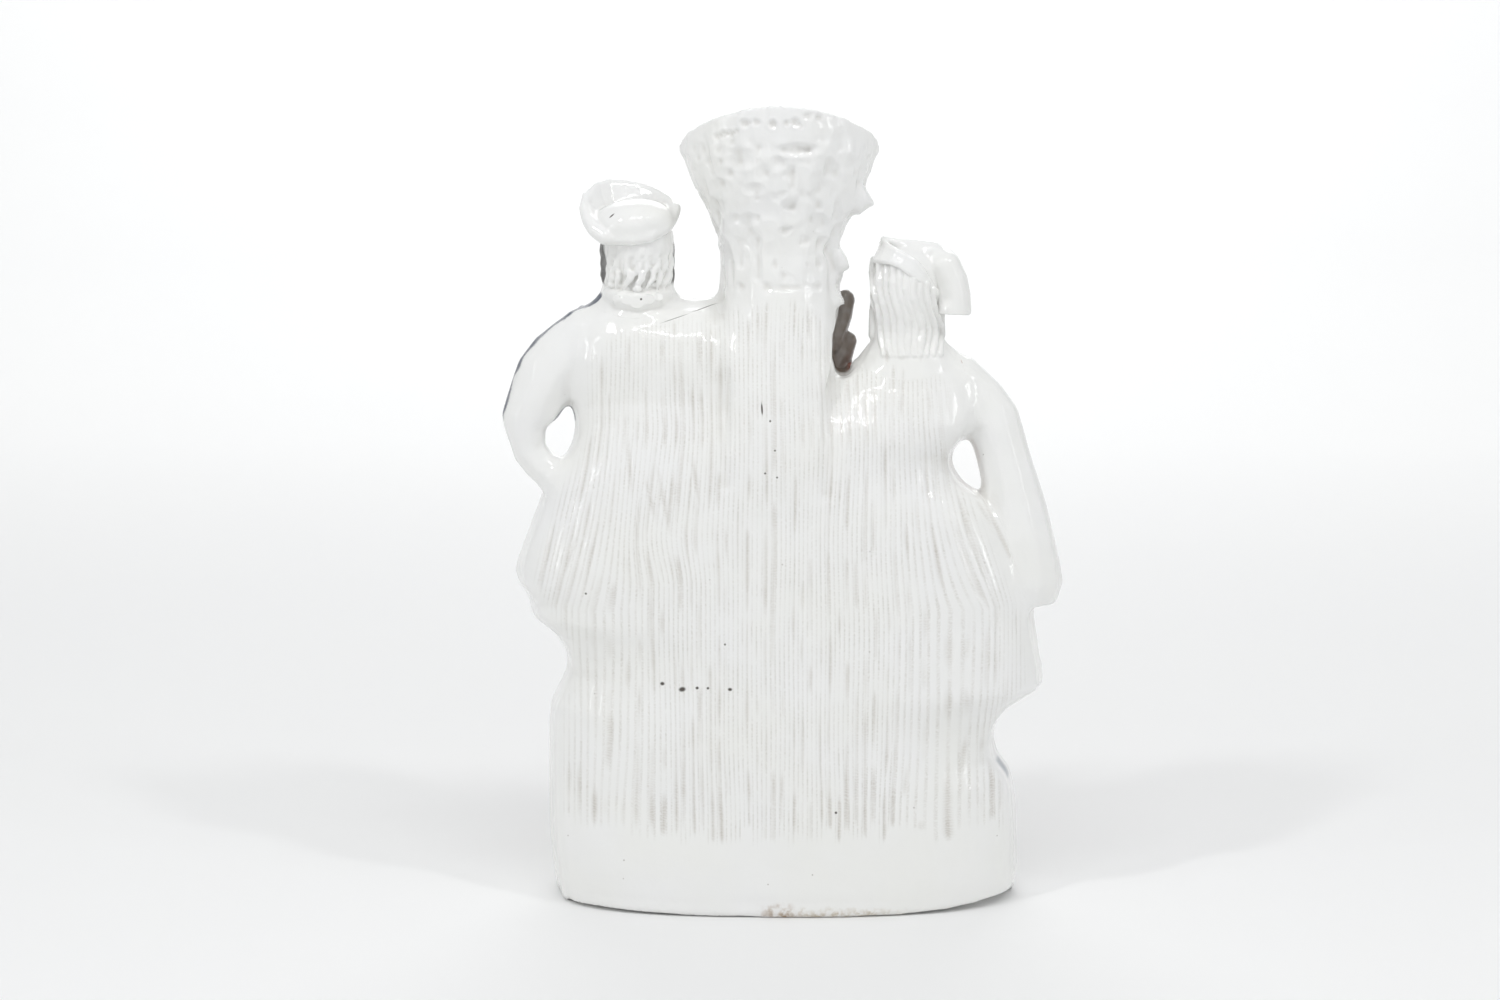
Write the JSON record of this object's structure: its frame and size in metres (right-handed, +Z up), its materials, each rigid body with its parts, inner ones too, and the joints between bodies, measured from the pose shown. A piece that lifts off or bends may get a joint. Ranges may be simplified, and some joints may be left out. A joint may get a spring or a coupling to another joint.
{
  "type": "spill vase",
  "caption": "Glazed earthenware spill vase: a man and a woman stand on an oval base either side of a hollow, flared tree trunk that holds paper spills.",
  "frame": {"origin": "centre of the underside of the base, on the surface that the vase stands on", "axes": "+Z up; -Y is the plain combed back and +Y the side that the figures face; +X is the woman's side"},
  "size_m": [0.274, 0.1142, 0.3902],
  "materials": {
    "white_glaze": "glossy lead glaze over white earthenware",
    "brown_enamel": "dark brown enamel under glossy glaze",
    "bare_clay": "unglazed biscuit inside the shells"
  },
  "bodies": {
    "root": {"base_slab": "white_glaze", "body_back": "white_glaze", "body_front": "white_glaze", "seam_roll": "bare_clay", "trunk_back": "white_glaze", "trunk_front": "white_glaze", "well_floor": "white_glaze", "side_knot_upper": "white_glaze", "side_knot_lower": "white_glaze", "branch_stub_upper": "brown_enamel", "branch_stub_lower": "brown_enamel", "man_head": "white_glaze", "man_bonnet": "white_glaze", "man_left_arm": "white_glaze", "man_right_arm": "white_glaze", "man_left_leg": "white_glaze", "man_right_leg": "white_glaze", "woman_head": "white_glaze", "woman_cap": "white_glaze", "woman_right_arm": "white_glaze", "woman_left_arm": "white_glaze"}
  },
  "joints": []
}
